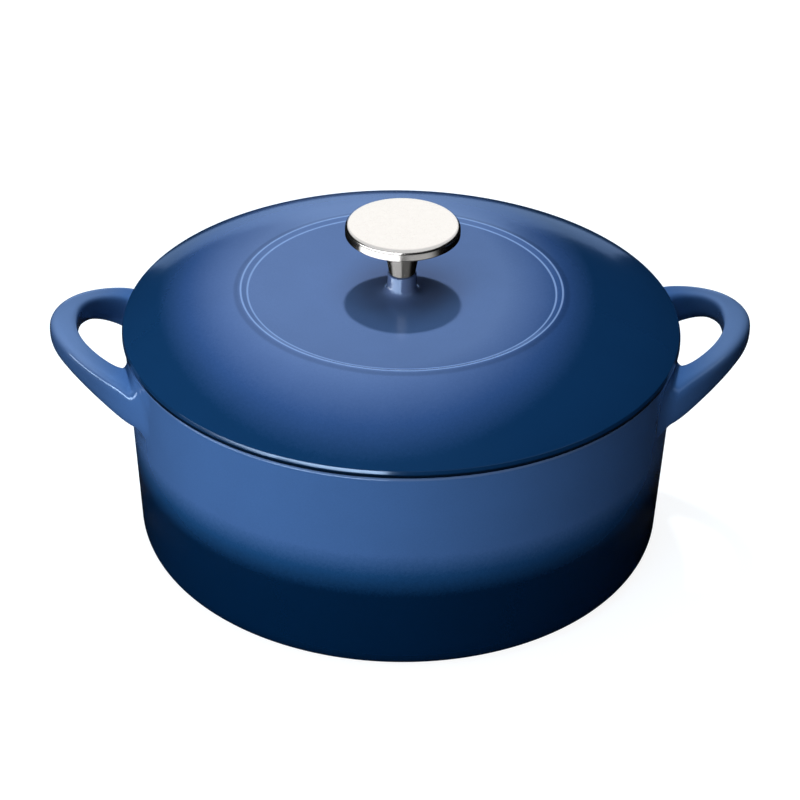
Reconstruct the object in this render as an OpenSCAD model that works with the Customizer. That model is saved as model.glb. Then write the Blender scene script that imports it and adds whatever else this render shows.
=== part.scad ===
// Round cast iron dutch oven: an enamelled pot with two loop handles and a lid
// whose steel knob is held from below by one screw. Millimetres, +Z up.
// The origin is the centre of the flat base.

/* [Pot] */
// Outer radius of the wall at the rim
rim_r = 122; // [105:0.5:150]
// Height of the rim above the surface that the pot stands on
pot_h = 101.2; // [80:0.2:140]
// Thickness of the cast wall
wall_t = 3.6; // [3:0.1:6]
// Thickness of the cast base
base_t = 4.2; // [3.5:0.1:7]
// Lean of the wall from vertical, in degrees
draft = 2.6; // [1:0.1:5]
// Outside radius between wall and base
base_round = 10; // [6:0.5:20]
// Inside radius between wall and base
floor_round = 9; // [5:0.5:18]
// Radius on the outer edge of the rim
rim_round = 1.3; // [0.6:0.1:1.8]
// Radius on the inner edge of the rim
rim_inner_round = 1; // [0.5:0.1:1.8]

/* [Handles] */
// How far each loop reaches out from the rim
handle_reach = 32.6; // [26:0.2:42]
// Half the outer width of a loop where it meets the wall
handle_half_w = 51.5; // [44:0.5:62]
// How far inside the rim the centre of the loop's outline lies
loop_inset = 30.8; // [20:0.2:45]
// Width of the grip at the tip of the loop, seen from above
grip_w = 12.4; // [10:0.2:16]
// Width of an arm where it meets the wall, seen from above
arm_w = 17; // [14:0.5:22]
// Extra width of an arm's foot, where it runs into the wall
foot_flare = 4.4; // [0:0.2:7]
// Height of the grip at its tip
grip_h = 12.3; // [8:0.1:15]
// Height of an arm where it meets the wall
arm_h = 20.8; // [16:0.2:36]
// Drop from the rim to the top of an arm at the wall
arm_drop = 2.8; // [2:0.1:10]
// Rise of the loop's top from the wall to the tip
grip_rise = 10.8; // [0:0.2:14]

/* [Lid] */
// Outer radius of the lid
lid_r = 122.8; // [122:0.1:127]
// Height of the middle of the lid's rounded edge above the rim
lid_edge_h = 2.2; // [1.6:0.1:5]
// Radius on the lid's edge
lid_edge_round = 0.9; // [0.6:0.1:1.4]
// Width of the flat seat on the rim
seat_w = 1.5; // [0.8:0.1:2]
// Thickness of the cast lid
lid_t = 3.6; // [3:0.1:6]
// Slope of the dome just inside its edge, in degrees
dome_edge_slope = 30; // [15:1:40]
// Slope of the dome just outside the raised ring, in degrees
dome_ring_slope = 13; // [5:1:18]
// Height of the raised ring's crest above the rim
ring_rise = 19.2; // [14:0.2:30]
// Radius of the raised ring's crest
ring_r = 70.5; // [55:0.5:85]
// Depth of the step down from the crest to the panel inside it
ring_step = 1.1; // [0.6:0.1:2]
// Width of that step
ring_step_w = 2.9; // [2:0.1:5]
// Dip of the panel from its edge to the neck
panel_dip = 1.1; // [0:0.1:2]
// Depth of the locating rib under the lid
rib_depth = 4; // [2.5:0.1:8]
// Thickness of the locating rib
rib_t = 2.2; // [1.5:0.1:4]
// Gap between the locating rib and the inside of the pot
rib_gap = 1.4; // [0.6:0.1:3]

/* [Neck] */
// Height of the cast neck above the panel
neck_h = 9.3; // [5:0.1:16]
// Radius of the neck at its top
neck_r = 6.35; // [5.6:0.05:9]
// Radius at which the neck's foot runs out into the panel
neck_foot_r = 13.5; // [11:0.5:18]

/* [Knob] */
// Radius of the knob's disc
knob_r = 25; // [18:0.5:32]
// Thickness of the disc at its edge
knob_edge_t = 6.2; // [5:0.1:9]
// Extra thickness of the disc at its middle
knob_belly = 1.6; // [0.5:0.1:4]
// Radius on the disc's edges
knob_round = 2.2; // [1:0.1:2.4]
// Height of the polished stem between neck and disc
stem_h = 16.7; // [12:0.1:24]
// Radius of the stem where it stands on the neck
stem_low_r = 5.75; // [5:0.05:6.3]
// Radius of the stem under the disc
stem_top_r = 8.6; // [7:0.1:12]
// Radius of the spigot that joins the stem to the disc
spigot_r = 5; // [4:0.1:6]
// Length of that spigot
spigot_h = 4; // [2.5:0.1:5]

/* [Fasteners] */
// Radius of the screw's thread
screw_r = 3; // [2.5:0.1:3.5]
// How far the screw reaches into the stem
screw_grip = 12.5; // [7:0.1:14]
// Radius of the screw's pan head
head_r = 6; // [5:0.1:8]
// Height of the screw's pan head
head_h = 4; // [3:0.1:6]
// Width of the slot in the screw's head
slot_w = 1.6; // [1:0.1:2]
// Depth of that slot
slot_depth = 1.8; // [1:0.1:2.4]
// Outer radius of the flat washer
washer_r = 7.5; // [6.5:0.1:10]
// Thickness of the flat washer
washer_t = 1.6; // [1:0.1:2.5]
// Outer radius of the lock washer
lock_r = 5.9; // [5:0.1:7]
// Thickness of the lock washer
lock_t = 1.6; // [1:0.1:2.2]
// Width of the split in the lock washer
lock_split = 1.2; // [0.6:0.1:2]
// Play of the screw in the lid's and washers' holes, on the radius
hole_play = 0.3; // [0.15:0.05:0.6]
// Play of the screw in the stem and of the spigot in the disc, on the radius
fit_play = 0.03; // [0.02:0.01:0.08]

/* [Hidden] */

ENAMEL = "#2f5c94";
POLISHED_STEEL = "#b9b9bb";
BRUSHED_STEEL = "#d6d3cd";
ZINC_STEEL = "#a9abad";
TURN_FN = 180;
SMALL_FN = 64;

// The seat, where the lid's flat underside lies on the rim
seat_z = pot_h;
// Outer radius the wall would have at the surface the pot stands on
foot_r = rim_r - pot_h * tan(draft);
// The wall's thickness measured level
level_wall = wall_t / cos(draft);
panel_edge_z = seat_z + ring_rise - ring_step;
panel_z = panel_edge_z - panel_dip;
neck_top_z = panel_z + neck_h;
disc_low_z = neck_top_z + stem_h;
disc_top_z = disc_low_z + knob_belly + knob_edge_t;
under_z = panel_z - lid_t;
washer_z = under_z - washer_t;
lock_z = washer_z - lock_t;
screw_hole_r = screw_r + hole_play;

// Outside and inside radius of the wall at a height
function wall_out(z) = foot_r + z * tan(draft);
function wall_in(z) = wall_out(z) - level_wall;
// Points of an arc about [x, z], from one angle to another
function arc(x, z, r, from, to, n = 8) =
    [for (i = [0:n]) let (a = from + (to - from) * i / n) [x + r * cos(a), z + r * sin(a)]];
// Points of a cubic curve, without its first one
function curve(p, n = 16) =
    [for (i = [1:n]) let (t = i / n, s = 1 - t)
        s * s * s * p[0] + 3 * s * s * t * p[1] + 3 * s * t * t * p[2] + t * t * t * p[3]];
// A point that lies a distance along a slope from another, down towards the rim
function down_slope(p, slope, d) = [p[0] + d * cos(slope), p[1] - d * sin(slope)];

// ---- Pot ----

module pot_outside() {
    rotate_extrude($fn = TURN_FN)
        polygon(concat(
            [[0, 0]],
            arc(wall_out(base_round) - base_round / cos(draft), base_round, base_round, -90, -draft),
            arc(wall_out(pot_h - rim_round) - rim_round / cos(draft), pot_h - rim_round,
                rim_round, -draft, 90, 6),
            [[0, pot_h]]));
}

module pot_cavity() {
    lip_x = wall_in(pot_h - rim_inner_round) + rim_inner_round / cos(draft);
    floor_z = base_t + floor_round;
    rotate_extrude($fn = TURN_FN)
        polygon(concat(
            [[0, pot_h + rim_inner_round], [lip_x, pot_h + rim_inner_round]],
            arc(lip_x, pot_h - rim_inner_round, rim_inner_round, 90, 180 - draft, 5),
            arc(wall_in(floor_z) - floor_round / cos(draft), floor_z, floor_round, -draft, -90),
            [[0, base_t]]));
}

// The loop's outer and inner edge, seen from above, are parts of two superellipses.
// Each section stands upright between a point on one and a point on the other.
HANDLE_STEPS = 36;
SECTION_POINTS = 20;
OUTER_POWER = 1.86;
INNER_POWER = 2.4;
SECTION_POWER = 3.2;
DEPTH_POWER = 1.34;
FLARE_POWER = 8;
loop_end = 84;
tip_x = rim_r + handle_reach;
grip_x = tip_x - grip_w;
arm_x = rim_r - wall_t / 2;
loop_x = rim_r - loop_inset;
outer_half_x = tip_x - loop_x;
inner_half_x = grip_x - loop_x;
inner_half_w = handle_half_w - arm_w;

// A point of a superellipse whose half widths are 1
function super(a, power) = [sign(cos(a)) * pow(abs(cos(a)), 2 / power),
                            sign(sin(a)) * pow(abs(sin(a)), 2 / power)];
// How far along an arm a place is: 0 at the tip and 1 at the wall
function arm_share(x) = min(1.15, max(0, (grip_x - x) / (grip_x - arm_x)));
function loop_top(x) = pot_h - arm_drop + grip_rise * (x - rim_r) / handle_reach;
function loop_depth(x) = grip_h + (arm_h - grip_h) * pow(arm_share(x), DEPTH_POWER);
function loop_section(t) =
    let (o = super(t, OUTER_POWER), i = super(t, INNER_POWER),
         outer = [loop_x + outer_half_x * o[0], handle_half_w * o[1]],
         edge = [loop_x + inner_half_x * i[0], inner_half_w * i[1]],
         share = arm_share((outer[0] + edge[0]) / 2),
         inner = edge + (edge - outer) / norm(edge - outer) * foot_flare * pow(share, FLARE_POWER),
         middle = (outer + inner) / 2,
         half = (outer - inner) / 2,
         depth = loop_depth(middle[0]),
         mid_z = loop_top(middle[0]) - depth / 2)
    [for (k = [0:SECTION_POINTS - 1])
        let (p = super(360 * k / SECTION_POINTS, SECTION_POWER))
        [middle[0] + half[0] * p[0], middle[1] + half[1] * p[0], mid_z + depth / 2 * p[1]]];

module loop_handle() {
    rows = HANDLE_STEPS + 1;
    points = [for (i = [0:HANDLE_STEPS]) each loop_section(loop_end * (2 * i / HANDLE_STEPS - 1))];
    sides = [for (i = [0:HANDLE_STEPS - 1], k = [0:SECTION_POINTS - 1])
        let (a = i * SECTION_POINTS, b = a + SECTION_POINTS, next = (k + 1) % SECTION_POINTS)
        each [[a + k, a + next, b + k], [a + next, b + next, b + k]]];
    first_end = [for (k = [SECTION_POINTS - 1:-1:0]) k];
    last_end = [for (k = [0:SECTION_POINTS - 1]) (rows - 1) * SECTION_POINTS + k];
    polyhedron(points, concat(sides, [first_end, last_end]));
}

module pot() {
    color(ENAMEL)
        difference() {
            union() {
                pot_outside();
                loop_handle();
                rotate([0, 0, 180]) loop_handle();
            }
            pot_cavity();
        }
}

// ---- Lid ----

crest = [ring_r, seat_z + ring_rise];
edge_x = lid_r - lid_edge_round;
edge_z = seat_z + lid_edge_h;
edge_top = [edge_x + lid_edge_round * sin(dome_edge_slope),
            edge_z + lid_edge_round * cos(dome_edge_slope)];
dome_pull = (edge_top[0] - crest[0]) / 3;
panel_edge = [ring_r - ring_step_w, panel_edge_z];
neck_foot = [neck_foot_r, panel_z];
rib_out_r = wall_in(seat_z) - rib_gap;
rib_in_r = rib_out_r - rib_t;
rib_round = rib_t / 2 - 0.1;
rib_low_z = seat_z - rib_depth;
under_flat_r = ring_r - 2 * lid_t;
under_edge = [rib_in_r - lid_t, edge_z];
seat_out_r = wall_in(seat_z) + rim_inner_round + seat_w;

lid_top_side = concat(
    [[seat_out_r, seat_z]],
    arc(edge_x, edge_z, lid_edge_round, -60, 90 - dome_edge_slope, 10),
    curve([edge_top, down_slope(edge_top, dome_edge_slope, -dome_pull),
           down_slope(crest, dome_ring_slope, dome_pull), crest], 20),
    curve([crest, crest - [ring_step_w / 2, 0.1 * ring_step],
           panel_edge + [ring_step_w / 2, 0.1 * ring_step], panel_edge], 6),
    curve([panel_edge, panel_edge - [ring_r / 4, panel_dip / 2],
           neck_foot + [ring_r / 4, 0], neck_foot], 8),
    curve([neck_foot, neck_foot - [0.3 * neck_foot_r, -0.02 * neck_h],
           [neck_r + 0.06 * neck_h, neck_top_z - neck_h / 2], [neck_r, neck_top_z]], 12));

lid_under_side = concat(
    [[under_flat_r, under_z]],
    curve([[under_flat_r, under_z], [under_flat_r + dome_pull, under_z],
           down_slope(under_edge, dome_edge_slope, -dome_pull), under_edge], 14),
    [[rib_in_r, seat_z]],
    arc(rib_in_r + rib_round, rib_low_z + rib_round, rib_round, 180, 270, 4),
    arc(rib_out_r - rib_round, rib_low_z + rib_round, rib_round, 270, 360, 4),
    [[rib_out_r, seat_z]]);

module lid() {
    color(ENAMEL)
        difference() {
            rotate_extrude($fn = TURN_FN)
                polygon(concat([[0, under_z]], lid_under_side, lid_top_side, [[0, neck_top_z]]));
            translate([0, 0, under_z - 1])
                cylinder(r = screw_hole_r, h = neck_top_z - under_z + 2, $fn = SMALL_FN);
        }
}

// ---- Knob ----

module knob_disc() {
    edge_low_z = disc_top_z - knob_edge_t;
    color(BRUSHED_STEEL)
        difference() {
            rotate_extrude($fn = TURN_FN)
                polygon(concat(
                    [[0, disc_low_z], [stem_top_r, disc_low_z]],
                    arc(knob_r - knob_round, edge_low_z + knob_round, knob_round, -90, 0, 6),
                    arc(knob_r - knob_round, disc_top_z - knob_round, knob_round, 0, 90, 6),
                    [[0, disc_top_z]]));
            translate([0, 0, disc_low_z - 1])
                cylinder(r = spigot_r + fit_play, h = spigot_h + fit_play + 1, $fn = SMALL_FN);
        }
}

module knob_stem() {
    color(POLISHED_STEEL)
        difference() {
            rotate_extrude($fn = SMALL_FN)
                polygon([[0, neck_top_z], [stem_low_r, neck_top_z], [stem_top_r, disc_low_z],
                         [spigot_r, disc_low_z], [spigot_r, disc_low_z + spigot_h],
                         [0, disc_low_z + spigot_h]]);
            translate([0, 0, neck_top_z - 1])
                cylinder(r = screw_r + fit_play, h = screw_grip + 2, $fn = SMALL_FN);
        }
}

// ---- Fasteners ----

module knob_screw() {
    head_round = head_h / 2;
    color(ZINC_STEEL)
        difference() {
            rotate_extrude($fn = SMALL_FN)
                polygon(concat(
                    [[0, lock_z - head_h]],
                    arc(head_r - head_round, lock_z - head_h + head_round, head_round, -90, 0, 6),
                    [[head_r, lock_z], [screw_r, lock_z], [screw_r, neck_top_z + screw_grip],
                     [0, neck_top_z + screw_grip]]));
            translate([-head_r - 1, -slot_w / 2, lock_z - head_h - 1])
                cube([2 * head_r + 2, slot_w, slot_depth + 1]);
        }
}

module lock_washer() {
    color(ZINC_STEEL)
        translate([0, 0, lock_z])
            difference() {
                cylinder(r = lock_r, h = lock_t, $fn = SMALL_FN);
                translate([0, 0, -1])
                    cylinder(r = screw_hole_r, h = lock_t + 2, $fn = SMALL_FN);
                translate([0, -lock_split / 2, -1])
                    cube([lock_r + 1, lock_split, lock_t + 2]);
            }
}

module flat_washer() {
    color(ZINC_STEEL)
        translate([0, 0, washer_z])
            difference() {
                cylinder(r = washer_r, h = washer_t, $fn = SMALL_FN);
                translate([0, 0, -1])
                    cylinder(r = screw_hole_r, h = washer_t + 2, $fn = SMALL_FN);
            }
}

pot();
lid();
knob_disc();
knob_stem();
knob_screw();
lock_washer();
flat_washer();
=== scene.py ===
"""Looks of a round enamelled cast iron dutch oven with a steel knob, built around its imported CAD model.

Lengths are in millimetres, and build() turns them into metres, in the CAD model's own frame. Only
the lamps are placed and sized in metres. In names, r is a radius, w a width, h a height and t a
thickness.
"""
import math

import bmesh
import bpy
import numpy as np
from mathutils import Matrix, Vector, geometry


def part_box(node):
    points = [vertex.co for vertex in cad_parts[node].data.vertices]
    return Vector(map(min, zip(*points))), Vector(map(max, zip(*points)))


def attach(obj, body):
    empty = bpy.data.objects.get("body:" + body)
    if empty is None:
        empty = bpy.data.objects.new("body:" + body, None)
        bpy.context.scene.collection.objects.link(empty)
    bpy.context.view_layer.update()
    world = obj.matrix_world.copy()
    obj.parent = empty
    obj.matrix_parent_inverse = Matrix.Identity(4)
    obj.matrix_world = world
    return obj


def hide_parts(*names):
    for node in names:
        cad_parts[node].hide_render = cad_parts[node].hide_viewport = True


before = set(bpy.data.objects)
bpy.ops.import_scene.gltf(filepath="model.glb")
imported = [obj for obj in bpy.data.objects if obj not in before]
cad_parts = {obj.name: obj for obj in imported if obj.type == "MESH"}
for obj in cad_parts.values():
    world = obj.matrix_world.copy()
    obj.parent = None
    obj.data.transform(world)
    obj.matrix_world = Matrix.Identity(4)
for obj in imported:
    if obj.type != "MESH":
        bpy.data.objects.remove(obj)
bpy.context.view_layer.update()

MM = 0.001


def box_mm(node):
    """Lowest and highest corner of a CAD node, in millimetres."""
    low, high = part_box(node)
    return np.array(low) / MM, np.array(high) / MM


pot_high = box_mm("pot")[1]
lid_low, lid_high = box_mm("lid")
disc_low, disc_high = box_mm("knob_disc")
stem_high = box_mm("knob_stem")[1]
screw_low, screw_high = box_mm("knob_screw")
lock_low, lock_high = box_mm("lock_washer")
flat_low, flat_high = box_mm("flat_washer")

# ---------------------------------------------------------------- sizes, as in the CAD model

rib_depth, rib_t, rib_gap = 4, 2.2, 1.4  # locating rib under the lid, and its gap to the wall
rim_r = pot_high[1]
pot_h = lid_low[2] + rib_depth
wall_t, base_t = 3.6, 4.2
draft = math.radians(2.6)  # lean of the wall
base_round, floor_round = 10, 9  # between wall and base, outside and inside
rim_inner_round = 1.0

tip_x = pot_high[0]
handle_half_w, loop_inset = 51.5, 30.8  # half a loop's width, and its centre's way inside the rim
grip_w, arm_w, foot_flare = 12.4, 17, 4.4  # widths seen from above, the last added at the wall
grip_h, arm_h = 12.3, 20.8
arm_drop, grip_rise = 2.8, 10.8  # drop of an arm below the rim, and rise from there to the tip
outer_power, inner_power = 1.86, 2.4  # of the superellipses that a loop's two edges follow
depth_power, flare_power = 1.34, 8  # how an arm's height and flare grow towards the wall

lid_r = lid_high[1]
lid_t, seat_w = 3.6, 1.5
edge_slope, ring_slope = math.radians(30), math.radians(13)  # of the dome, outside and by the ring
ring_rise, ring_r = 19.2, 70.5  # height of the ring's crest over the rim, and its radius
ring_step, ring_step_w = 1.1, 2.9  # height and width of the step down from the crest
panel_dip = 1.1  # fall of the panel from the step to the neck
neck_r, neck_foot_r = 6.35, 13.5

stem_foot_r, spigot_r, spigot_h = 5.75, 5, 4
screw_r, hole_play, fit_play = 3, 0.3, 0.03  # play in the lid and washers, and in the stem and disc
slot_w, slot_depth, lock_split = 1.6, 1.8, 1.2

# ---------------------------------------------------------------- sizes finer than in the CAD model

rim_round = 1.9
lid_edge_h, lid_edge_round = 3.3, 0.6  # height over the rim and rounding of the dome's edge
lid_bevel_h, lid_lean = 1.2, math.radians(21)  # bevel under that edge
lid_gap, lid_low_round, lip_round = 0.45, 0.5, 0.5  # gap under the lower lip, and its roundings
ring_edge = 0.35  # rounding of the ring's two edges
neck_fillet, neck_taper, neck_round = 3.0, 0.15, 0.4
knob_edge_t, knob_top_round, knob_low_round = 5.6, 2.5, 0.6
stem_round, hole_bevel, screw_tip, washer_round = 0.35, 0.3, 0.5, 0.25

# ---------------------------------------------------------------- places that follow from the sizes

level_wall = wall_t / math.cos(draft)
foot_r = rim_r - pot_h * math.tan(draft)
panel_edge_z = pot_h + ring_rise - ring_step
panel_z = panel_edge_z - panel_dip
neck_top_z = lid_high[2]
under_z = flat_high[2]
hole_r = screw_r + hole_play


def wall_out(z):
    """Radius of the wall's outside at a height."""
    return foot_r + z * math.tan(draft)


def wall_in(z):
    """Radius of the wall's inside at a height."""
    return wall_out(z) - level_wall


rib_out_r = wall_in(pot_h) - rib_gap


# ---------------------------------------------------------------- mesh tools

SAME_POINT = 0.01  # points nearer than this are one
ON_AXIS = 1e-6  # a radius below this is on the axis


def arc(x, z, r, start, end, steps):
    """Points of an arc about (x, z), between two angles in degrees."""
    turn = np.radians(np.linspace(start, end, steps + 1))
    return [(x + r * math.cos(a), z + r * math.sin(a)) for a in turn]


def cubic(t, a, b, c, d):
    """Point of a cubic curve at t: a at 0, d at 1, leaving towards b and arriving from c."""
    return (1 - t) ** 3 * a + 3 * (1 - t) ** 2 * t * b + 3 * (1 - t) * t * t * c + t ** 3 * d


def curve(a, b, c, d, steps):
    """Points of a cubic curve, with both ends."""
    a, b, c, d = map(np.array, (a, b, c, d))
    return [tuple(cubic(t, a, b, c, d)) for t in np.linspace(0, 1, steps + 1)]


def outline(parts, longest):
    """Joins runs of points, drops repeated ones and divides steps longer than this."""
    points = []
    for p in (p for part in parts for p in part):
        if points and math.dist(points[-1], p) < SAME_POINT:
            continue
        if points:
            x, z = points[-1]
            count = math.ceil(math.dist((x, z), p) / longest)
            points += [(x + (p[0] - x) * i / count, z + (p[1] - z) * i / count) for i in range(1, count)]
        points.append(p)
    return points


def build(name, vertices, faces):
    """A smooth piece from vertices in millimetres."""
    mesh = bpy.data.meshes.new(name)
    mesh.from_pydata((np.asarray(vertices) * MM).tolist(), [], faces)
    mesh.validate()
    mesh.shade_smooth()
    piece = bpy.data.objects.new(name, mesh)
    bpy.context.scene.collection.objects.link(piece)
    return piece


def turned_rows(points, turns):
    """Vertices of an outline turned about Z, and each point's row of their numbers.

    A point on the axis is one vertex, which its row repeats.
    """
    vertices, rows = [], []
    for r, z in points:
        count = turns if r > ON_AXIS else 1
        angles = np.arange(count) * 2 * math.pi / count
        rows.append([len(vertices) + i * count // turns for i in range(turns)])
        vertices += [(r * math.cos(a), r * math.sin(a), z) for a in angles]
    return vertices, rows


def band(below, above, skipped=()):
    """Faces between two rows of vertices, without the skipped turns."""
    faces = []
    for i in range(len(below)):
        if i not in skipped:
            j = (i + 1) % len(below)
            faces.append(list(dict.fromkeys([below[i], below[j], above[j], above[i]])))
    return faces


def lathe(name, points, turns, closed=False):
    """Turns an outline about Z. A closed one runs back to its first point."""
    vertices, rows = turned_rows(points, turns)
    pairs = list(zip(rows, rows[1:]))
    if closed:
        pairs.append((rows[-1], rows[0]))
    return build(name, vertices, [face for below, above in pairs for face in band(below, above)])


def cut(target, cutter):
    """Takes a cutter out of the target, and removes the cutter."""
    modifier = target.modifiers.new("cut", "BOOLEAN")
    modifier.operation, modifier.object, modifier.solver = "DIFFERENCE", cutter, "EXACT"
    graph = bpy.context.evaluated_depsgraph_get()
    mesh = bpy.data.meshes.new_from_object(target.evaluated_get(graph))
    target.modifiers.clear()
    used = (target.data, cutter.data)
    target.data = mesh
    bpy.data.objects.remove(cutter)
    for old in used:
        bpy.data.meshes.remove(old)
    return target


# ---------------------------------------------------------------- handles

# Powers of the section's corners: rounder at the top outside, tighter at the top by the fingers
TOP_OUTER, TOP_INNER, LOWER = 2.7, 4.2, 3.0
FILLET = 6.0  # radius of the casting's fillet where an arm meets the wall
BEND = 0.56  # length of a curve's handles that makes it nearly a circle's arc
RIM_ROOM = 0.6  # least height between a fillet and the rim's rounding
AROUND, ALONG, FILLET_ROWS = 72, 150, 9
CROWDING = 0.12  # how much closer together the rows lie towards the arms' feet
LAST_ANGLE = math.radians(89)  # along a loop, well inside the wall
HALVINGS = 40  # of the range in which a strand's end is sought
LIMIT_POWER = 6.0  # how sharply a fillet shrinks where it runs out of room

loop_x = rim_r - loop_inset
grip_x = tip_x - grip_w
arm_x = rim_r - wall_t / 2


def unit(vectors):
    """The same vectors at length 1."""
    return vectors / np.linalg.norm(vectors, axis=-1, keepdims=True)


def super_point(angle, power):
    """Points of a superellipse whose half widths are 1, at these angles."""
    c, s = np.cos(angle), np.sin(angle)
    return np.sign(c) * np.abs(c) ** (2 / power), np.sign(s) * np.abs(s) ** (2 / power)


def section_point(angle):
    """A point of the handle's section, from -1 to 1 across and in height."""
    top = np.where(np.cos(angle) >= 0, TOP_OUTER, TOP_INNER)
    return super_point(angle, np.where(np.sin(angle) >= 0, top, LOWER))


def section_angles(count):
    """Angles that spread points evenly round the section."""
    fine = np.linspace(0, 2 * math.pi, 8 * 360 + 1)
    x, y = section_point(fine)
    run = np.concatenate([[0], np.cumsum(np.hypot(np.diff(x), np.diff(y)))])
    return np.interp(np.arange(count) * run[-1] / count, run, fine)


def arm_share(x):
    """How far along an arm a place is: 0 at the grip, 1 in the wall and at most 1.15 behind it."""
    return np.clip((grip_x - x) / (grip_x - arm_x), 0, 1.15)


def handle_point(t, angle):
    """Points of a loop's surface, at these places along it and round its section."""
    ox, oy = super_point(t, outer_power)
    ix, iy = super_point(t, inner_power)
    outer = np.stack([loop_x + (tip_x - loop_x) * ox, handle_half_w * oy], -1)
    edge = np.stack([loop_x + (grip_x - loop_x) * ix, (handle_half_w - arm_w) * iy], -1)
    flare = foot_flare * arm_share((outer[..., 0] + edge[..., 0]) / 2) ** flare_power
    inner = edge + unit(edge - outer) * flare[..., None]
    middle, half = (outer + inner) / 2, (outer - inner) / 2
    depth = grip_h + (arm_h - grip_h) * arm_share(middle[..., 0]) ** depth_power
    top = pot_h - arm_drop + grip_rise * (middle[..., 0] - rim_r) / (tip_x - rim_r)
    across, up = section_point(angle)
    flat = middle + half * across[..., None]
    return np.concatenate([flat, (top - depth / 2 + depth / 2 * up)[..., None]], -1)


def slope_along(t, angle):
    """Unit vector along each strand of a loop, towards its end, and the outward normal there."""
    step = 1e-4
    ahead = handle_point(t + step, angle) - handle_point(t - step, angle)
    round_it = handle_point(t, angle + step) - handle_point(t, angle - step)
    return unit(ahead), unit(np.cross(ahead, round_it))


def wall_gap(p):
    """Distance from the outside of the wall, negative inside it."""
    return (np.hypot(p[..., 0], p[..., 1]) - wall_out(p[..., 2])) * math.cos(draft)


def wall_normal(p):
    """The wall's outward normal beside each point."""
    flat = p[..., :2] / np.hypot(p[..., 0], p[..., 1])[..., None] * math.cos(draft)
    return np.concatenate([flat, np.full(p.shape[:-1] + (1,), -math.sin(draft))], -1)


def strand_end(angle, gap):
    """Place along a loop where each strand comes this near to the wall."""
    near, far = np.zeros(len(angle)), np.full(len(angle), LAST_ANGLE)
    for _ in range(HALVINGS):
        middle = (near + far) / 2
        outside = wall_gap(handle_point(middle, angle)) > gap
        near, far = np.where(outside, middle, near), np.where(outside, far, middle)
    return far


def arm_root(angle):
    """Where each strand leaves a loop for its fillet, and the rows from there to the wall."""
    end = strand_end(angle, 0.0)
    corner = handle_point(end, angle)
    ahead, normal = slope_along(end, angle)
    out = wall_normal(corner)
    away = unit(normal - (normal * out).sum(-1, keepdims=True) * out)
    room = pot_h - rim_round - RIM_ROOM - corner[:, 2]
    tight = np.maximum(away[:, 2], 0) / room
    size = (FILLET ** -LIMIT_POWER + tight ** LIMIT_POWER) ** (-1 / LIMIT_POWER)
    start = strand_end(angle, size * -(ahead * out).sum(-1))
    top = handle_point(start, angle)
    foot = corner + away * size[:, None]
    r = np.hypot(foot[:, 0], foot[:, 1])
    foot[:, :2] *= (wall_out(foot[:, 2]) / r)[:, None]
    a, b = top + BEND * (corner - top), foot + BEND * (corner - foot)
    shares = np.arange(1, FILLET_ROWS + 1) / FILLET_ROWS
    return start, np.array([cubic(s, top, a, b, foot) for s in shares])


def loop_rows():
    """Rows of points round a loop's section, from the foot of one arm to the foot of the other."""
    angle = section_angles(AROUND)
    start, fillet = arm_root(angle)
    s = np.linspace(-1, 1, ALONG)
    s = s + CROWDING * np.sin(math.pi * s)
    t = start * s[:, None]
    strands = handle_point(t, np.broadcast_to(angle, t.shape))
    return np.concatenate([fillet[::-1] * (1, -1, 1), strands, fillet])


# ---------------------------------------------------------------- pot

TURNS = 288
PATCH_LOW = 62  # height from which the wall by an arm's foot is meshed anew
PATCH_FROM, PATCH_TO = 7, 27  # first and last turn of such a patch
PATCH_CLEAR = 1.4  # how far the patch's own points stay from the foot


def pot_outline():
    """The pot's outline from the middle of its base to the middle of its floor."""
    lip_x = wall_in(pot_h - rim_inner_round) + rim_inner_round / math.cos(draft)
    floor_z = base_t + floor_round
    lean = math.degrees(draft)
    parts = [
        [(0, 0)],
        arc(wall_out(base_round) - base_round / math.cos(draft), base_round,
            base_round, -90, -lean, 14),
        arc(wall_out(pot_h - rim_round) - rim_round / math.cos(draft), pot_h - rim_round,
            rim_round, -lean, 90, 10),
        arc(lip_x, pot_h - rim_inner_round, rim_inner_round, 90, 180 - lean, 8),
        arc(wall_in(floor_z) - floor_round / math.cos(draft), floor_z,
            floor_round, -lean, -90, 14),
        [(0, base_t)],
    ]
    return outline(parts, longest=3.0)


def inside(p, closed):
    """Whether a point lies inside a closed line."""
    nxt = np.roll(closed, -1, axis=0)
    level = (closed[:, 1] > p[1]) != (nxt[:, 1] > p[1])
    a, b = closed[level], nxt[level]
    cross = a[:, 0] + (p[1] - a[:, 1]) / (b[:, 1] - a[:, 1]) * (b[:, 0] - a[:, 0])
    return (cross > p[0]).sum() % 2 == 1


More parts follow.
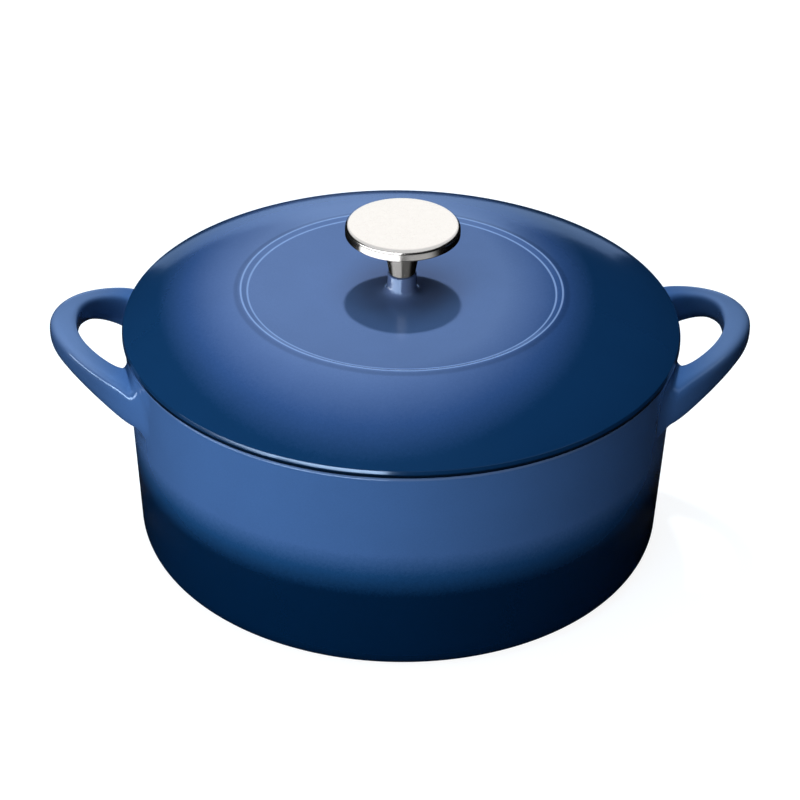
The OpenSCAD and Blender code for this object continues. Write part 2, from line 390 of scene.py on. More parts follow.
def wall_patch(points, foot):
    """First and last row of the wall by an arm, and the triangles between them round the foot.

    Each corner is ("foot", number round the foot) or (row, turn) of the wall.
    """
    on_wall = [i for i, (r, z) in enumerate(points) if abs(r - wall_out(z)) < 1e-6 and z > PATCH_LOW]
    low, high = on_wall[0], on_wall[-1]
    closed = np.array([(math.atan2(y, x) * rim_r, z) for x, y, z in foot])
    names = [("foot", k) for k in range(len(closed))]
    places = [Vector(p) for p in closed]
    edges = [(k, (k + 1) % len(closed)) for k in range(len(closed))]
    for row in range(low, high + 1):
        for turn in range(PATCH_FROM, PATCH_TO + 1):
            p = np.array([turn * 2 * math.pi / TURNS * rim_r, points[row][1]])
            border = row in (low, high) or turn in (PATCH_FROM, PATCH_TO)
            if border or (not inside(p, closed) and np.hypot(*(closed - p).T).min() > PATCH_CLEAR):
                names.append((row, turn))
                places.append(Vector(p))
    corners, _, faces, sources, *_ = geometry.delaunay_2d_cdt(places, edges, [], 0, 1e-5)
    triangles = []
    for face in faces:
        middle = sum((np.array(corners[v]) for v in face), np.zeros(2)) / 3
        if not inside(middle, closed):
            triangles.append([names[sources[v][0]] for v in face])
    return low, high, triangles


def patched_turns():
    """Turns of the wall that the patches by the four arms take up."""
    taken = set()
    for half in (0, TURNS // 2):
        for turn in range(PATCH_FROM, PATCH_TO):
            taken |= {(half + turn) % TURNS, (half - 1 - turn) % TURNS}
    return taken


def add_loop(vertices, faces, rows, loop, triangles, side):
    """Adds the loop on the right, side 1, or on the left, side -1, and the patches by its feet."""
    half = 0 if side > 0 else TURNS // 2
    index = len(vertices) + np.arange(loop.shape[0] * AROUND).reshape(-1, AROUND)
    vertices += (loop.reshape(-1, 3) * (side, side, 1)).tolist()
    nxt = np.roll(index, -1, axis=1)
    faces += np.stack([index[:-1], nxt[:-1], nxt[1:], index[1:]], -1).reshape(-1, 4).tolist()
    for way_round, foot in ((1, index[-1]), (-1, index[0])):
        for triangle in triangles:
            faces.append([int(foot[number]) if row == "foot"
                          else rows[row][(half + way_round * number) % TURNS]
                          for row, number in triangle])


def area_normals(mesh):
    """Vertex normals weighted by area, so that small faces by an edge don't tilt them."""
    p = np.empty(len(mesh.vertices) * 3)
    mesh.vertices.foreach_get("co", p)
    p = p.reshape(-1, 3)
    mesh.calc_loop_triangles()
    tri = np.empty(len(mesh.loop_triangles) * 3, int)
    mesh.loop_triangles.foreach_get("vertices", tri)
    tri = tri.reshape(-1, 3)
    n = np.cross(p[tri[:, 1]] - p[tri[:, 0]], p[tri[:, 2]] - p[tri[:, 0]])
    total = np.zeros_like(p)
    for i in range(3):
        np.add.at(total, tri[:, i], n)
    return total / np.maximum(np.linalg.norm(total, axis=1, keepdims=True), 1e-20)


def clean(mesh):
    """Drops vertices that have no face, and turns all faces outwards."""
    work = bmesh.new()
    work.from_mesh(mesh)
    bmesh.ops.delete(work, geom=[v for v in work.verts if not v.link_faces], context="VERTS")
    bmesh.ops.recalc_face_normals(work, faces=work.faces)
    work.to_mesh(mesh)
    work.free()
    mesh.shade_smooth()


def smooth_wall(mesh):
    """Gives the wall its true normals, so that the patches by the arms don't show."""
    p = np.array([v.co for v in mesh.vertices]) / MM
    normals = area_normals(mesh)
    on_wall = (np.abs(wall_gap(p)) < 1e-3) & (p[:, 2] > base_round) & (p[:, 2] < pot_h - rim_round)
    normals[on_wall] = wall_normal(p[on_wall])
    mesh.normals_split_custom_set_from_vertices(normals.tolist())


def make_pot():
    """One casting: a turned pot, two loops and the fillets between them, in one mesh."""
    points = pot_outline()
    loop = loop_rows()
    low, high, triangles = wall_patch(points, loop[-1])
    vertices, rows = turned_rows(points, TURNS)
    taken = patched_turns()
    faces = []
    for i, (below, above) in enumerate(zip(rows, rows[1:])):
        faces += band(below, above, taken if low <= i < high else ())
    for side in (1, -1):
        add_loop(vertices, faces, rows, loop, triangles, side)
    pot = build("pot_casting", vertices, faces)
    clean(pot.data)
    smooth_wall(pot.data)
    return pot


# ---------------------------------------------------------------- lid

crest = (ring_r, pot_h + ring_rise)
edge_z = pot_h + lid_edge_h
edge_x = lid_r - lid_edge_round - lid_bevel_h * math.tan(lid_lean)
edge_top = (edge_x + lid_edge_round * math.sin(edge_slope),
            edge_z + lid_edge_round * math.cos(edge_slope))
dome_pull = (edge_top[0] - crest[0]) / 3


def down(p, slope, d):
    """The point a distance down a slope from another, towards the rim."""
    return p[0] + d * math.cos(slope), p[1] - d * math.sin(slope)


def toward(a, b, d):
    """The point this far from a on the way to b."""
    share = d / math.dist(a, b)
    return a[0] + (b[0] - a[0]) * share, a[1] + (b[1] - a[1]) * share


def lid_underside():
    """From the screw's hole along the dish and round the rib to the seat."""
    flat_r = ring_r - 2 * lid_t
    rib_in_r = rib_out_r - rib_t
    rib_round, rib_z = rib_t / 2 - 0.1, pot_h - rib_depth
    dish_edge = (rib_in_r - lid_t, edge_z)
    seat_out_r = wall_in(pot_h) + rim_inner_round + seat_w
    return [
        [(hole_r, under_z + hole_bevel), (hole_r + hole_bevel, under_z), (flat_r, under_z)],
        curve((flat_r, under_z), (flat_r + dome_pull, under_z),
              down(dish_edge, edge_slope, -dome_pull), dish_edge, 24),
        arc(rib_in_r + rib_round, rib_z + rib_round, rib_round, 180, 270, 6),
        arc(rib_out_r - rib_round, rib_z + rib_round, rib_round, 270, 360, 6),
        [(rib_out_r, pot_h), (seat_out_r, pot_h)],
    ]


def lid_edge():
    """From the lower lip up the bevel to the dome."""
    bevel = (lid_r, edge_z - lid_bevel_h)
    return [
        arc(lid_r - lid_low_round, pot_h + lid_gap + lid_low_round, lid_low_round, -90, 0, 6),
        curve((lid_r, bevel[1] - lip_round), bevel, bevel,
              (lid_r - lip_round * math.tan(lid_lean), bevel[1] + lip_round), 5),
        arc(edge_x, edge_z, lid_edge_round, math.degrees(lid_lean), 90 - math.degrees(edge_slope), 8),
    ]


def lid_top():
    """From the edge up the dome, over the ring, down its step and along the panel to the neck."""
    outer_edge = down(crest, ring_slope, ring_edge)
    panel_edge = (ring_r - ring_step_w, panel_edge_z)
    inner_edge = (panel_edge[0] - ring_edge, panel_edge[1] - 0.01)  # the panel falls from here
    neck_foot = (neck_foot_r, panel_z)
    return [
        curve(edge_top, down(edge_top, edge_slope, -dome_pull),
              down(outer_edge, ring_slope, dome_pull), outer_edge, 48),
        curve(outer_edge, crest, crest, toward(crest, panel_edge, ring_edge), 6),
        curve(toward(panel_edge, crest, ring_edge), panel_edge, panel_edge, inner_edge, 6),
        curve(inner_edge, (inner_edge[0] - ring_r / 4, inner_edge[1] - panel_dip / 2),
              (neck_foot_r + ring_r / 4, panel_z), neck_foot, 20),
        curve(neck_foot, (neck_r + neck_fillet / 2, panel_z + 0.1),
              (neck_r + 2 * neck_taper, panel_z + neck_fillet / 3),
              (neck_r + neck_taper, panel_z + neck_fillet), 16),
        arc(neck_r - neck_round, neck_top_z - neck_round, neck_round, 0, 90, 4),
        [(hole_r, neck_top_z)],
    ]


def make_lid():
    """One casting: dome, ring, panel and neck, with the rib and the dish underneath."""
    points = outline(lid_underside() + lid_edge() + lid_top(), longest=4.0)
    return lathe("lid_casting", points, turns=300, closed=True)


# ---------------------------------------------------------------- knob and fasteners


def make_disc():
    """Knob disc, with a bore for the stem's spigot underneath."""
    r, z0, z1 = disc_high[0], disc_low[2], disc_high[2]
    low_edge = z1 - knob_edge_t
    bore_r = spigot_r + fit_play
    parts = [
        [(0, z0 + spigot_h), (bore_r, z0 + spigot_h), (bore_r, z0), (stem_high[0], z0)],
        arc(r - knob_low_round, low_edge + knob_low_round, knob_low_round, -90, 0, 8),
        arc(r - knob_top_round, z1 - knob_top_round, knob_top_round, 0, 90, 12),
        [(0, z1)],
    ]
    return lathe("knob_cap", outline(parts, longest=1.2), turns=192)


def make_stem():
    """Stem that widens from the neck to the disc, with its spigot and the screw's bore."""
    z0, z1 = neck_top_z, disc_low[2]
    bore_r = screw_r + fit_play
    parts = [
        [(bore_r, z0)],
        arc(stem_foot_r - stem_round, z0 + stem_round, stem_round, -90, 0, 4),
        [(stem_high[0], z1), (spigot_r, z1), (spigot_r, z1 + spigot_h)],
        [(bore_r, z1 + spigot_h)],
    ]
    return lathe("knob_collar", outline(parts, longest=1.0), turns=128, closed=True)


def bar(name, length, width, height, z):
    """A plain cutter, centred on the Z axis at this height."""
    corners = [(x * length / 2, y * width / 2, z + up * height / 2)
               for up in (-1, 1) for x, y in ((-1, -1), (1, -1), (1, 1), (-1, 1))]
    faces = [[3, 2, 1, 0], [4, 5, 6, 7], [0, 1, 5, 4], [1, 2, 6, 5], [2, 3, 7, 6], [3, 0, 4, 7]]
    return build(name, corners, faces)


def make_screw():
    """Pan-head screw, with its slot underneath."""
    head_r, low, top, tip = screw_high[0], screw_low[2], lock_low[2], screw_high[2]
    head_round = (top - low) / 2
    parts = [
        [(0, low)],
        arc(head_r - head_round, low + head_round, head_round, -90, 0, 8),
        [(head_r, top), (screw_r, top)],
        [(screw_r, tip - screw_tip), (screw_r - screw_tip, tip), (0, tip)],
    ]
    screw = lathe("screw_m6", outline(parts, longest=1.0), turns=64)
    return cut(screw, bar("slot", 3 * head_r, slot_w, 2 * slot_depth, low))


def make_washer(name, low, high):
    """A flat ring with rounded edges, in this box and round the screw."""
    edge, outer, z0, z1 = washer_round, high[0], low[2], high[2]
    parts = [
        arc(hole_r + edge, z0 + edge, edge, 180, 270, 3),
        arc(outer - edge, z0 + edge, edge, 270, 360, 3),
        arc(outer - edge, z1 - edge, edge, 0, 90, 3),
        arc(hole_r + edge, z1 - edge, edge, 90, 180, 3),
    ]
    return lathe(name, outline(parts, longest=1.5), turns=72, closed=True)


def split_washer(washer, low, high):
    """Cuts the gap of a lock washer, on its right."""
    gap = bar("gap", 2 * high[0], lock_split, 3 * (high[2] - low[2]), (low[2] + high[2]) / 2)
    gap.data.transform(Matrix.Translation((1.2 * high[0] * MM, 0, 0)))
    return cut(washer, gap)


# ---------------------------------------------------------------- materials


class Surface:
    """A material in the making, in millimetres. Its nodes take numbers, colours or other outputs."""

    def __init__(self, name):
        self.material = bpy.data.materials.new(name)
        self.material.use_nodes = True
        self.tree = self.material.node_tree
        self.shader = self.tree.nodes["Principled BSDF"]
        metres = self.node("TexCoord", output="Object")
        self.place = self.vector("SCALE", metres, Scale=1 / MM)
        self.x, self.y, self.z = self.parts(self.place)
        self.r = self.length(self.x, self.y)

    def feed(self, socket, value):
        """Links an output to a socket, or sets it to a number or colour."""
        if isinstance(value, bpy.types.NodeSocket):
            self.tree.links.new(value, socket)
        elif socket.type == "RGBA":
            socket.default_value = (*value, 1)
        else:
            socket.default_value = value

    def node(self, kind, inputs=None, output=0, **settings):
        """Adds a node and gives one of its outputs."""
        made = self.tree.nodes.new("ShaderNode" + kind)
        for key, value in settings.items():
            setattr(made, key, value)
        for key, value in (inputs or {}).items():
            self.feed(made.inputs[key], value)
        return made.outputs[output]

    def math(self, operation, a, b=0.0):
        return self.node("Math", {0: a, 1: b}, operation=operation)

    def plus(self, a, b):
        return self.math("ADD", a, b)

    def minus(self, a, b):
        return self.math("SUBTRACT", a, b)

    def times(self, a, b):
        return self.math("MULTIPLY", a, b)

    def length(self, a, b):
        return self.math("SQRT", self.plus(self.times(a, a), self.times(b, b)))

    def vector(self, operation, a, b=(0, 0, 0), **named):
        return self.node("VectorMath", {0: a, 1: b, **named}, operation=operation)

    def parts(self, vector):
        """The x, y and z of a vector."""
        separate = self.tree.nodes.new("ShaderNodeSeparateXYZ")
        self.feed(separate.inputs[0], vector)
        return separate.outputs

    def ramp(self, value, zero, one, curve="SMOOTHSTEP"):
        """0 up to one value, 1 beyond the other and smooth between them. Either may be the larger."""
        limits = {0: value, 1: zero, 2: one, 3: 0.0, 4: 1.0}
        return self.node("MapRange", limits, interpolation_type=curve)

    def span(self, value, low, high, soft):
        """1 between two values and 0 outside them."""
        return self.times(self.ramp(value, low - soft, low), self.ramp(value, high + soft, high))

    def blend(self, share, a, b):
        """From a to b, which are numbers or colours, as the share goes from 0 to 1."""
        if isinstance(a, (int, float)) or getattr(a, "type", "") == "VALUE":
            return self.node("Mix", {0: share, 2: a, 3: b}, data_type="FLOAT")
        return self.node("Mix", {0: share, 6: a, 7: b}, output=2, data_type="RGBA")

    def facing_up(self):
        """1 on a level face, 0 on an upright one and -1 on an underside."""
        return self.parts(self.node("TexCoord", output="Normal"))[2]

    def noise(self, size, detail=2.0, rough=0.5, place=None):
        """Noise from 0 to 1 with spots about this size."""
        inputs = {"Vector": place or self.place, "Scale": 1 / size, "Detail": detail, "Roughness": rough}
        return self.node("TexNoise", inputs)

    def set(self, **values):
        """Sets or links the shader's sockets."""
        for name, value in values.items():
            self.feed(self.shader.inputs[name.replace("_", " ")], value)

    def bump(self, *layers):
        """Adds up layers of height, each as noise and its depth in millimetres."""
        total = 0.0
        for height, depth in layers:
            total = self.plus(total, self.times(height, depth))
        self.set(Normal=self.node("Bump", {"Height": total, "Distance": MM, "Strength": 1.0}))


# The pot's enamel, from the dark spray at its base to the blue of its upper wall
POT_BLUES = ((0.0004, 0.0100, 0.0350), (0.0075, 0.0430, 0.1250), (0.0410, 0.0985, 0.2440))
# The lid's enamel, from its dark edge to its middle, whose palest blue is partly a painted sheen of light
LID_BLUES = ((0.0032, 0.0215, 0.0640), (0.0200, 0.0500, 0.1380),
             (0.0530, 0.0905, 0.2000), (0.0810, 0.1230, 0.2430))
PAINTED_HIGHLIGHT_BLUE = (0.1900, 0.2700, 0.4600)  # painted highlight, paler where light catches an edge or a top face
BLUE_SHEEN = (0.50, 0.70, 1.0)
CREAM, SPECK = (0.74, 0.70, 0.60), (0.45, 0.40, 0.32)
GROUND_COAT = (0.010, 0.011, 0.014)  # matte and nearly black, under the enamel

CLOUD_TONE, GRAIN_TONE, SPECK_TONE = 0.10, 0.22, 0.05  # how much each changes the colour
GLOSS, GRAIN_GLOSS, CREAM_GLOSS, GROUND_GLOSS = 0.10, 0.08, 0.16, 0.62  # roughness


def enamel(s, colors, light, inner, ground, painted_highlight, painted_shade):
    """Vitreous enamel: sprayed blues from 0 to 1 of light, cream inside, matte on the ground coat.

    Of the last two shares, the first paints highlights, paler where light catches an edge or a top face,
    and the second paints shade, darker in a hollow, under an edge or underneath.
    """
    cloud = s.noise(size=18, detail=3)
    grain = s.noise(size=0.55, detail=2, rough=0.7)
    speck = s.ramp(s.noise(size=0.8, detail=1), 0.66, 0.78)
    steps = len(colors) - 1
    blue = colors[0]
    for i, color in enumerate(colors[1:]):
        blue = s.blend(s.ramp(light, i / steps, (i + 1) / steps, "LINEAR"), blue, color)
    tone = s.plus(s.times(s.plus(cloud, -0.5), CLOUD_TONE), s.times(s.plus(grain, -0.5), GRAIN_TONE))
    # Painted shade makes the blue darker
    tone = s.minus(s.plus(tone, 1.0), painted_shade)
    # Painted highlights make the blue paler
    blue = s.blend(painted_highlight, s.vector("SCALE", blue, Scale=tone), PAINTED_HIGHLIGHT_BLUE)
    cream = s.blend(s.times(speck, SPECK_TONE), CREAM, SPECK)
    color = s.blend(ground, s.blend(inner, blue, cream), GROUND_COAT)
    s.set(Base_Color=color, Specular_IOR_Level=0.5, Specular_Tint=BLUE_SHEEN)
    blue_gloss = s.plus(GLOSS, s.times(grain, GRAIN_GLOSS))
    s.set(Roughness=s.blend(ground, s.blend(inner, blue_gloss, CREAM_GLOSS), GROUND_GLOSS))
    waves = s.noise(size=5.5, detail=1)
    ripples = s.noise(size=1.6, detail=2)
    s.bump((waves, 0.020), (ripples, 0.004), (s.times(grain, ground), 0.02))
    return s.material


def dithered(s, value, dark, light, grit):
    """Rises from 0 to 1 between two values, in sprayed grains that shift it by up to half the grit."""
    fine, coarse = s.noise(size=0.5, detail=2, rough=0.8), s.noise(size=1.4, detail=1)
    grain = s.plus(s.times(fine, 0.65), s.times(coarse, 0.35))
    shift = s.times(s.plus(grain, -0.5), grit)
    return s.ramp(s.plus(value, shift), dark, light, "LINEAR")


def pot_enamel():
    """Blue above and dark below, cream inside, ground coat on the lip and under the base, with painted
    shade and light on the handles and a painted highlight on the rim.
    """
    s = Surface("pot_enamel")
    light = dithered(s, s.z, dark=40.0, light=62.0, grit=9.0)

    # The inside lies within a cone that runs just behind the wall's inner face, and above the base
    cone_r = s.plus(s.times(s.z, math.tan(draft)), foot_r - level_wall + 0.6)
    within = s.ramp(s.minus(cone_r, s.r), 0.0, 0.4)
    inner = s.times(within, s.ramp(s.z, base_t - 0.6, base_t - 0.2))
    lip = s.times(s.ramp(s.z, pot_h - 1.2, pot_h - 0.6), s.ramp(s.r, rim_r - 0.6, rim_r - 1.0))
    ground = s.math("MAXIMUM", lip, s.ramp(s.z, 0.5, 0.2))

    # Painted shade darkens the handles, most of all underneath, and painted light makes their top faces
    # paler
    handles = s.ramp(s.r, rim_r, rim_r + 22)
    lit_top_faces = s.times(handles, s.ramp(s.facing_up(), 0.0, 0.9))
    # A painted highlight along the rim's rounding
    rim = s.times(s.ramp(s.z, pot_h - 1.6, pot_h - 1.0), s.span(s.r, rim_r - 1.2, rim_r + 0.3, 0.4))
    painted_highlight = s.plus(s.times(lit_top_faces, 0.35), s.times(rim, 0.25))
    under = s.ramp(s.facing_up(), 0.0, -0.5)
    painted_shade = s.times(handles, s.plus(0.42, s.times(under, 0.30)))
    return enamel(s, POT_BLUES, light, inner, ground, painted_highlight, painted_shade)


# The lid's pale spray is an oval; its shift off centre, to the left and back, is painted light
OVAL_LEFT, OVAL_BACK, OVAL_ALONG, OVAL_ACROSS = 11.0, 10.0, 1.12, 0.84


def lid_enamel():
    """Pale in an oval, partly painted light, and dark towards the edge, cream underneath, ground coat on
    the seat, with painted highlights on the ring and painted shade beside it and under the edge.
    """
    s = Surface("lid_enamel")
    along = s.times(s.plus(s.x, OVAL_LEFT), OVAL_ALONG)
    across = s.times(s.plus(s.y, -OVAL_BACK), OVAL_ACROSS)
    inwards = s.times(s.length(along, across), -1.0)
    light = dithered(s, inwards, dark=-108.0, light=-64.0, grit=11.0)

    # The underside lies below a line halfway through the casting, and inside the rib
    beyond = s.math("MAXIMUM", s.minus(s.r, ring_r - 4), 0.0)
    fall = s.plus(s.times(beyond, 0.17), s.times(s.times(beyond, beyond), 0.0030))
    halfway = s.minus((panel_z + under_z) / 2, fall)
    inside_rib = s.ramp(s.r, rib_out_r - 0.4, rib_out_r - 0.8)
    inner = s.times(inside_rib, s.ramp(s.minus(halfway, s.z), 0.0, 0.3))
    outside_rib = s.ramp(s.r, rib_out_r - 0.6, rib_out_r - 0.2)
    ground = s.times(outside_rib, s.ramp(s.z, pot_h + 0.35, pot_h + 0.15))

    # Painted highlights on the ring's two edges, painted shade just outside the ring and on the lid's
    # edge under its bevel
    def near(r):
        return s.span(s.r, r - 0.25, r + 0.25, 0.3)

    ring_edge_highlights = s.plus(near(ring_r), near(ring_r - ring_step_w))
    ring_foot_shade = s.span(s.r, ring_r + 1.6, ring_r + 2.4, 1.4)
    under_edge_shade = s.times(s.ramp(s.z, pot_h + 2.6, pot_h + 1.6), s.ramp(s.r, lid_r - 1.6, lid_r - 1.2))
    painted_shade = s.plus(s.times(ring_foot_shade, 0.22), s.times(under_edge_shade, 0.8))
    return enamel(s, LID_BLUES, light, inner, ground, s.times(ring_edge_highlights, 0.75), painted_shade)


def turned(s, fine, along):
    """Noise drawn out round the Z axis, as a lathe or a polishing belt leaves it."""
    around = s.math("ARCTAN2", s.y, s.x)
    place = s.node("CombineXYZ", {0: s.r, 1: s.times(around, along), 2: s.z})
    return s.noise(size=fine, detail=3, rough=0.65, place=place)


def brushed_steel():
    """Knob disc: a finely brushed top, painted near white as a painted reflection of the bright sky above
    it, and a polished edge.
    """
    s = Surface("brushed_steel")
    top = s.ramp(s.z, disc_high[2] - 0.6, disc_high[2] - 0.1)
    lines = turned(s, fine=0.12, along=2.5)
    wear = s.noise(size=3.0, detail=4, rough=0.7)
    marks = s.plus(lines, wear)
    # The top's near-white colour is a painted reflection; the edge's grey is the steel's own
    color = s.blend(top, (0.62, 0.61, 0.60), (0.97, 0.94, 0.90))
    tone = s.plus(0.9, s.times(marks, 0.1))
    s.set(Base_Color=s.vector("SCALE", color, Scale=tone), Metallic=1.0)
    s.set(Roughness=s.blend(top, 0.20, s.plus(0.22, s.times(marks, 0.06))))
    s.bump((s.times(lines, s.blend(top, 0.15, 1.0)), 0.004), (wear, 0.004))
    return s.material


def polished_steel():
    """Knob stem: polished on a lathe, so that it draws reflections out along the stem."""
    s = Surface("polished_steel")
    s.set(Anisotropic=0.8, Tangent=s.node("Tangent", direction_type="RADIAL", axis="Z"))
    lines = turned(s, fine=0.2, along=1.0)
    s.set(Base_Color=s.blend(lines, (0.56, 0.55, 0.54), (0.64, 0.63, 0.62)), Metallic=1.0)
    s.set(Roughness=s.plus(0.16, s.times(lines, 0.06)))
    s.bump((lines, 0.0008))
    return s.material


def plated_steel():
    """Fasteners: bright zinc, slightly uneven."""
    s = Surface("plated_steel")
    spots = s.noise(size=0.9, detail=4, rough=0.7)
    fine = s.noise(size=0.15, detail=2)
    s.set(Base_Color=s.blend(spots, (0.52, 0.53, 0.56), (0.66, 0.66, 0.67)), Metallic=1.0)
    s.set(Roughness=s.plus(0.22, s.times(spots, 0.2)))
    s.bump((fine, 0.004), (spots, 0.004))
    return s.material


# ---------------------------------------------------------------- pieces

pot = make_pot()
lid = make_lid()
disc = make_disc()
stem = make_stem()
screw = make_screw()
lock = split_washer(make_washer("washer_lock", lock_low, lock_high), lock_low, lock_high)
flat = make_washer("washer_flat", flat_low, flat_high)
zinc = plated_steel()

for piece, node, body, slot, material in (
        (pot, "pot", "pot", "pot_enamel", pot_enamel()),
        (lid, "lid", "lid", "lid_enamel", lid_enamel()),
        (disc, "knob_disc", "lid", "brushed_steel", brushed_steel()),
        (stem, "knob_stem", "lid", "polished_steel", polished_steel()),
        (screw, "knob_screw", "lid", "plated_steel", zinc),
        (lock, "lock_washer", "lid", "plated_steel", zinc),
        (flat, "flat_washer", "lid", "plated_steel", zinc)):
    piece.data.materials.clear()
    piece.data.materials.append(material)
    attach(piece, body)
    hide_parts(node)

disc.visible_glossy = stem.visible_glossy = False  # keeps their mirror images out of the glossy lid

# ---------------------------------------------------------------- camera

scene = bpy.context.scene
scene.view_settings.view_transform = "Standard"

CAMERA_PLACE = (-12.19, -919.9, 639.0)
CAMERA_PITCH, CAMERA_YAW, CAMERA_ROLL = map(math.radians, (32.104, 0.756, 0.91))
CAMERA_TURN = math.radians(-1.455)  # of the whole camera about the pot's axis
SENSOR_W, FOCAL_LENGTH = 36, 108.45


def make_camera():
    """Looks down on the pot from the front, a little to its left."""
    pitch, yaw, roll = CAMERA_PITCH, CAMERA_YAW, CAMERA_ROLL
    ahead = Vector((math.sin(yaw) * math.cos(pitch), math.cos(yaw) * math.cos(pitch), -math.sin(pitch)))
    level = Vector((math.cos(yaw), -math.sin(yaw), 0))
    upright = level.cross(ahead)
    side = math.cos(roll) * level + math.sin(roll) * upright
    up = -math.sin(roll) * level + math.cos(roll) * upright
    data = bpy.data.cameras.new("camera")
    data.sensor_width, data.lens = SENSOR_W, FOCAL_LENGTH
    camera = bpy.data.objects.new("camera", data)
    scene.collection.objects.link(camera)
    axes = Matrix((side, up, -ahead)).transposed().to_4x4()
    place = Matrix.Translation(Vector(CAMERA_PLACE) * MM)
    camera.matrix_world = Matrix.Rotation(CAMERA_TURN, 4, "Z") @ place @ axes
    scene.camera = camera


# ---------------------------------------------------------------- floor, world and tent

PAPER = (0.22, 0.26, 0.30)  # what the floor throws back, darker and bluer than it is seen
FLOOR_HALF_W = 3000
FLOOR_GLOW, GLOW_NEAR, GLOW_FAR = 0.90, 400, 1100  # the floor's brightness, which rises to 1 far away
AMBIENT = 0.05  # the surround's light on the object
TENT_R, TENT_HOLE_R, TENT_TURNS, TENT_STEP = 1600, 108, 72, 2  # the steps are in degrees
WINDOW_SIDE, WINDOW_LOW, WINDOW_HIGH = 80, 26, 44  # of azimuth and elevation, in degrees


def joined(tree, operation, a, b):
    """A Math node of any node tree."""
    made = tree.nodes.new("ShaderNodeMath")
    made.operation = operation
    for socket, value in zip(made.inputs, (a, b)):
        if isinstance(value, bpy.types.NodeSocket):
            tree.links.new(value, socket)
        else:
            socket.default_value = value
    return made.outputs[0]


def seen(tree):
    """1 for rays of the camera, of reflections and of glass, 0 for rays that light the object."""
    path = tree.nodes.new("ShaderNodeLightPath").outputs
    direct = joined(tree, "MAXIMUM", path["Is Camera Ray"], path["Is Glossy Ray"])
    return joined(tree, "MAXIMUM", direct, path["Is Transmission Ray"])


def make_floor():
    """Pale paper that shows white and keeps the object's shadow."""
    w = FLOOR_HALF_W
    floor = build("floor", [(-w, -w, 0), (w, -w, 0), (w, w, 0), (-w, w, 0)], [[0, 1, 2, 3]])
    paper = Surface("floor_paper")
    glow = paper.blend(paper.ramp(paper.r, GLOW_NEAR, GLOW_FAR), FLOOR_GLOW, 1.0)
    paper.set(Base_Color=PAPER, Roughness=0.9, Specular_IOR_Level=0.0, Emission_Color=(1, 1, 1),
              Emission_Strength=paper.times(seen(paper.tree), glow))
    floor.data.materials.append(paper.material)


def make_world():
    """A white surround that lights the object only softly."""
    world = bpy.data.worlds.new("studio")
    scene.world = world
    world.use_nodes = True
    background = world.node_tree.nodes["Background"]
    background.inputs["Color"].default_value = (1, 1, 1, 1)
    strength = joined(world.node_tree, "MAXIMUM", seen(world.node_tree), AMBIENT)
    world.node_tree.links.new(strength, background.inputs["Strength"])


def in_window(x, y, z):
    """Whether a place on the tent lies in the window that it leaves in front."""
    azimuth = math.degrees(math.atan2(x, -y))
    elevation = math.degrees(math.atan2(z, math.hypot(x, y)))
    return abs(azimuth) <= WINDOW_SIDE and WINDOW_LOW < elevation < WINDOW_HIGH


def show_only_in_reflections(piece):
    """Hides a piece from the camera and from every ray but a reflected one."""
    piece.visible_camera = piece.visible_diffuse = False
    piece.visible_shadow = piece.visible_transmission = False


def make_tent():
    """Black tent over floor and object. It shows only in reflections, and gives them dark edges."""
    slope = [(TENT_R * math.cos(e), TENT_R * math.sin(e) + 1)
             for e in np.radians(np.arange(0, 90, TENT_STEP))]
    ground = [(TENT_HOLE_R, 0.3), (TENT_R - 10, 0.5)]
    tent = lathe("black_tent", ground + slope + [(0, TENT_R + 1)], TENT_TURNS)
    mesh = bmesh.new()
    mesh.from_mesh(tent.data)
    window = [face for face in mesh.faces if in_window(*face.calc_center_median())]
    bmesh.ops.delete(mesh, geom=window, context="FACES")
    mesh.to_mesh(tent.data)
    mesh.free()
    felt = Surface("black_felt")
    felt.set(Base_Color=(0.01, 0.01, 0.011), Roughness=0.9, Specular_IOR_Level=0.0)
    tent.data.materials.append(felt.material)
    show_only_in_reflections(tent)


# ---------------------------------------------------------------- cards

CARD_R, CARD_LIFT = 96, 0.4  # the ring card's radius, and its height over the lid's ring
INNER_R, OUTER_R = 36.0, 56.0  # it glows inside one for neck and stem, outside the other for the disc
NECK_NEAR, NECK_REACH = 6.2, 1.24  # rays from the neck are shorter than (r - near) * reach
LEFT_FROM, LEFT_TO, LEFT_SOFT = -78, -8, 3  # azimuths that glow, and their soft edges, in degrees
RIGHT_FROM, RIGHT_TO, RIGHT_SOFT = 14, 40, 25
LEFT_LEVELS = (9.0, 0.62, 3.0)  # for the neck, the stem and the disc's edge
RIGHT_LEVELS = (0.2, 0.13, 0.6)
SKY_LIFT, SKY_MARGIN, SKY_REACH = 0.5, 2, 8  # above and beyond the disc, and how far off it shows


def show_card(card, s, level, where):
    """Lets a card glow at this level in reflections, and only there."""
    s.set(Base_Color=(0, 0, 0), Specular_IOR_Level=0.0, Emission_Color=(1, 1, 1),
          Emission_Strength=level, Alpha=where)
    card.data.materials.append(s.material)
    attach(card, "lid")
    show_only_in_reflections(card)


def make_sky():
    """Flat disc over the knob that shows only in the knob's top, from close by."""
    z = disc_high[2] + SKY_LIFT
    card = lathe("card_sky", [(disc_high[0] + SKY_MARGIN, z), (0, z)], turns=72)
    s = Surface("card_sky")
    close_by = s.math("LESS_THAN", s.node("LightPath", output="Ray Length"), SKY_REACH * MM)
    show_card(card, s, 1.0, close_by)


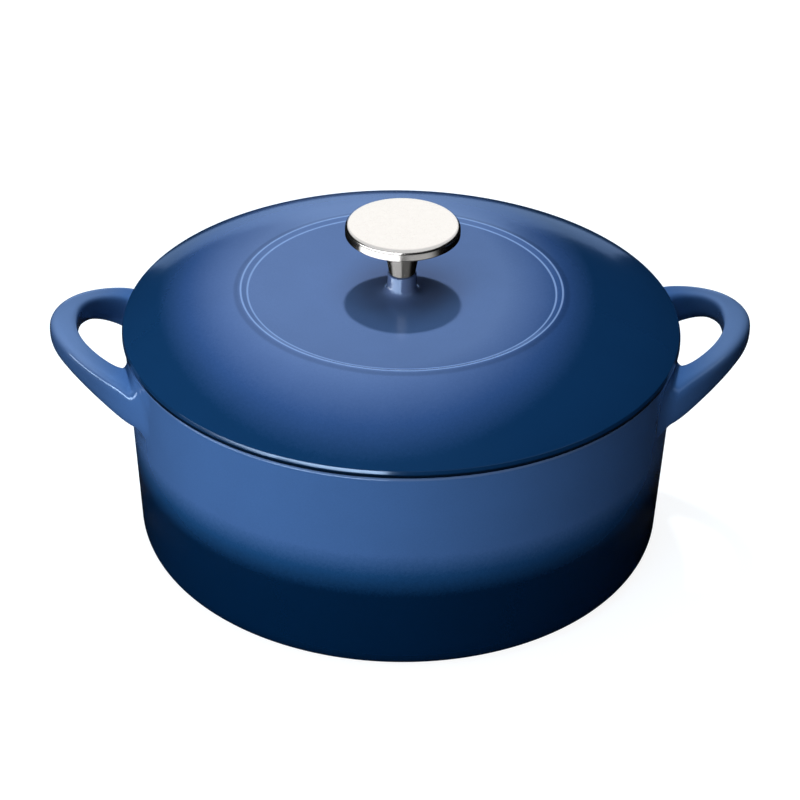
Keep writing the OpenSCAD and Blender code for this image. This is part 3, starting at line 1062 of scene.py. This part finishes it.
def make_card():
    """Flat ring over the lid that shows only in knob and neck: bright on the left, dim on the right."""
    z = pot_h + ring_rise + CARD_LIFT
    card = lathe("card_ground", [(CARD_R, z), (neck_r + 0.5, z)], turns=72)
    s = Surface("card_ground")
    azimuth = s.times(s.math("ARCTAN2", s.x, s.times(s.y, -1.0)), math.degrees(1))
    run = s.times(s.node("LightPath", output="Ray Length"), 1 / MM)
    on_neck = s.math("LESS_THAN", run, s.times(s.plus(s.r, -NECK_NEAR), NECK_REACH))
    inner, outer = s.math("LESS_THAN", s.r, INNER_R), s.math("GREATER_THAN", s.r, OUTER_R)

    def level(neck, stem_level, edge):
        return s.plus(s.times(inner, s.blend(on_neck, stem_level, neck)), s.times(outer, edge))

    left = s.span(azimuth, LEFT_FROM, LEFT_TO, LEFT_SOFT)
    right = s.span(azimuth, RIGHT_FROM, RIGHT_TO, RIGHT_SOFT)
    glow = s.plus(s.times(left, level(*LEFT_LEVELS)), s.times(right, level(*RIGHT_LEVELS)))
    first = s.math("LESS_THAN", s.node("LightPath", output="Ray Depth"), 1.5)
    from_above = s.minus(1.0, s.node("NewGeometry", output="Backfacing"))
    show_card(card, s, glow, s.times(from_above, first))


# ---------------------------------------------------------------- lamps, in metres

MIDDLE = Vector((0, 0, 0.09))  # what they point at
COOL = (0.50, 0.80, 1.0)  # of the fill from above, which lights the knob's shadow
LOW_BLUE = (0.42, 0.62, 1.0)  # of the panel that shows along the lid's back
WHITE = (1, 1, 1)


def way(azimuth, elevation):
    """Direction from the object. Azimuth 0 is the front and 90 the right."""
    a, e = math.radians(azimuth), math.radians(elevation)
    return Vector((math.sin(a) * math.cos(e), -math.cos(a) * math.cos(e), math.sin(e)))


def aim(lamp, place, target):
    """Places a lamp, turns it to a target and hides it from the camera."""
    lamp.location = place
    lamp.rotation_euler = (target - place).to_track_quat("-Z", "Y").to_euler()
    lamp.visible_camera = False
    scene.collection.objects.link(lamp)


def softbox(name, azimuth, elevation, level, size, color=WHITE, shows=False):
    """Soft panel 1 m away. A level of 1 lights a surface that faces it to its own colour."""
    data = bpy.data.lights.new(name, "AREA")
    data.shape = "RECTANGLE"
    data.size, data.size_y = size
    data.energy, data.color = math.pi ** 2 * level, color
    lamp = bpy.data.objects.new(name, data)
    lamp.visible_glossy = shows
    aim(lamp, MIDDLE + way(azimuth, elevation), MIDDLE)


def overhead(name, level, target, spread):
    """Small lamp 2 m away, above and a little behind, for the crisp shadow of the knob."""
    distance = 2.0
    data = bpy.data.lights.new(name, "SPOT")
    data.energy = 4 * math.pi ** 2 * level * distance ** 2
    data.shadow_soft_size, data.spot_size, data.spot_blend = 0.060, math.radians(spread), 1.0
    lamp = bpy.data.objects.new(name, data)
    lamp.visible_glossy = False
    aim(lamp, MIDDLE + way(180, 70) * distance, Vector(target))


make_camera()
make_floor()
make_world()
make_tent()
make_sky()
make_card()
# Name, azimuth, elevation, level, width and height
softbox("key_front", -27, 8, 0.68, (0.75, 0.13), shows=True)
softbox("key_left", -67, 4.5, 0.34, (0.75, 0.09), shows=True)
softbox("left_fill", -60, 26, 0.12, (0.5, 0.5))
softbox("left_top", -30, 58, 0.24, (0.5, 0.5), COOL)
softbox("top", 0, 88, 0.54, (0.6, 0.6), COOL)
softbox("back_high", 180, 34, 0.10, (0.6, 0.5))
softbox("back_low", 180, 2, 0.05, (0.8, 0.25), LOW_BLUE, shows=True)
# Name, level, target and spread in degrees
overhead("overhead_left", 0.34, (-0.075, 0, 0.12), 9)
overhead("overhead", 0.72, (0, 0, 0.12), 50)
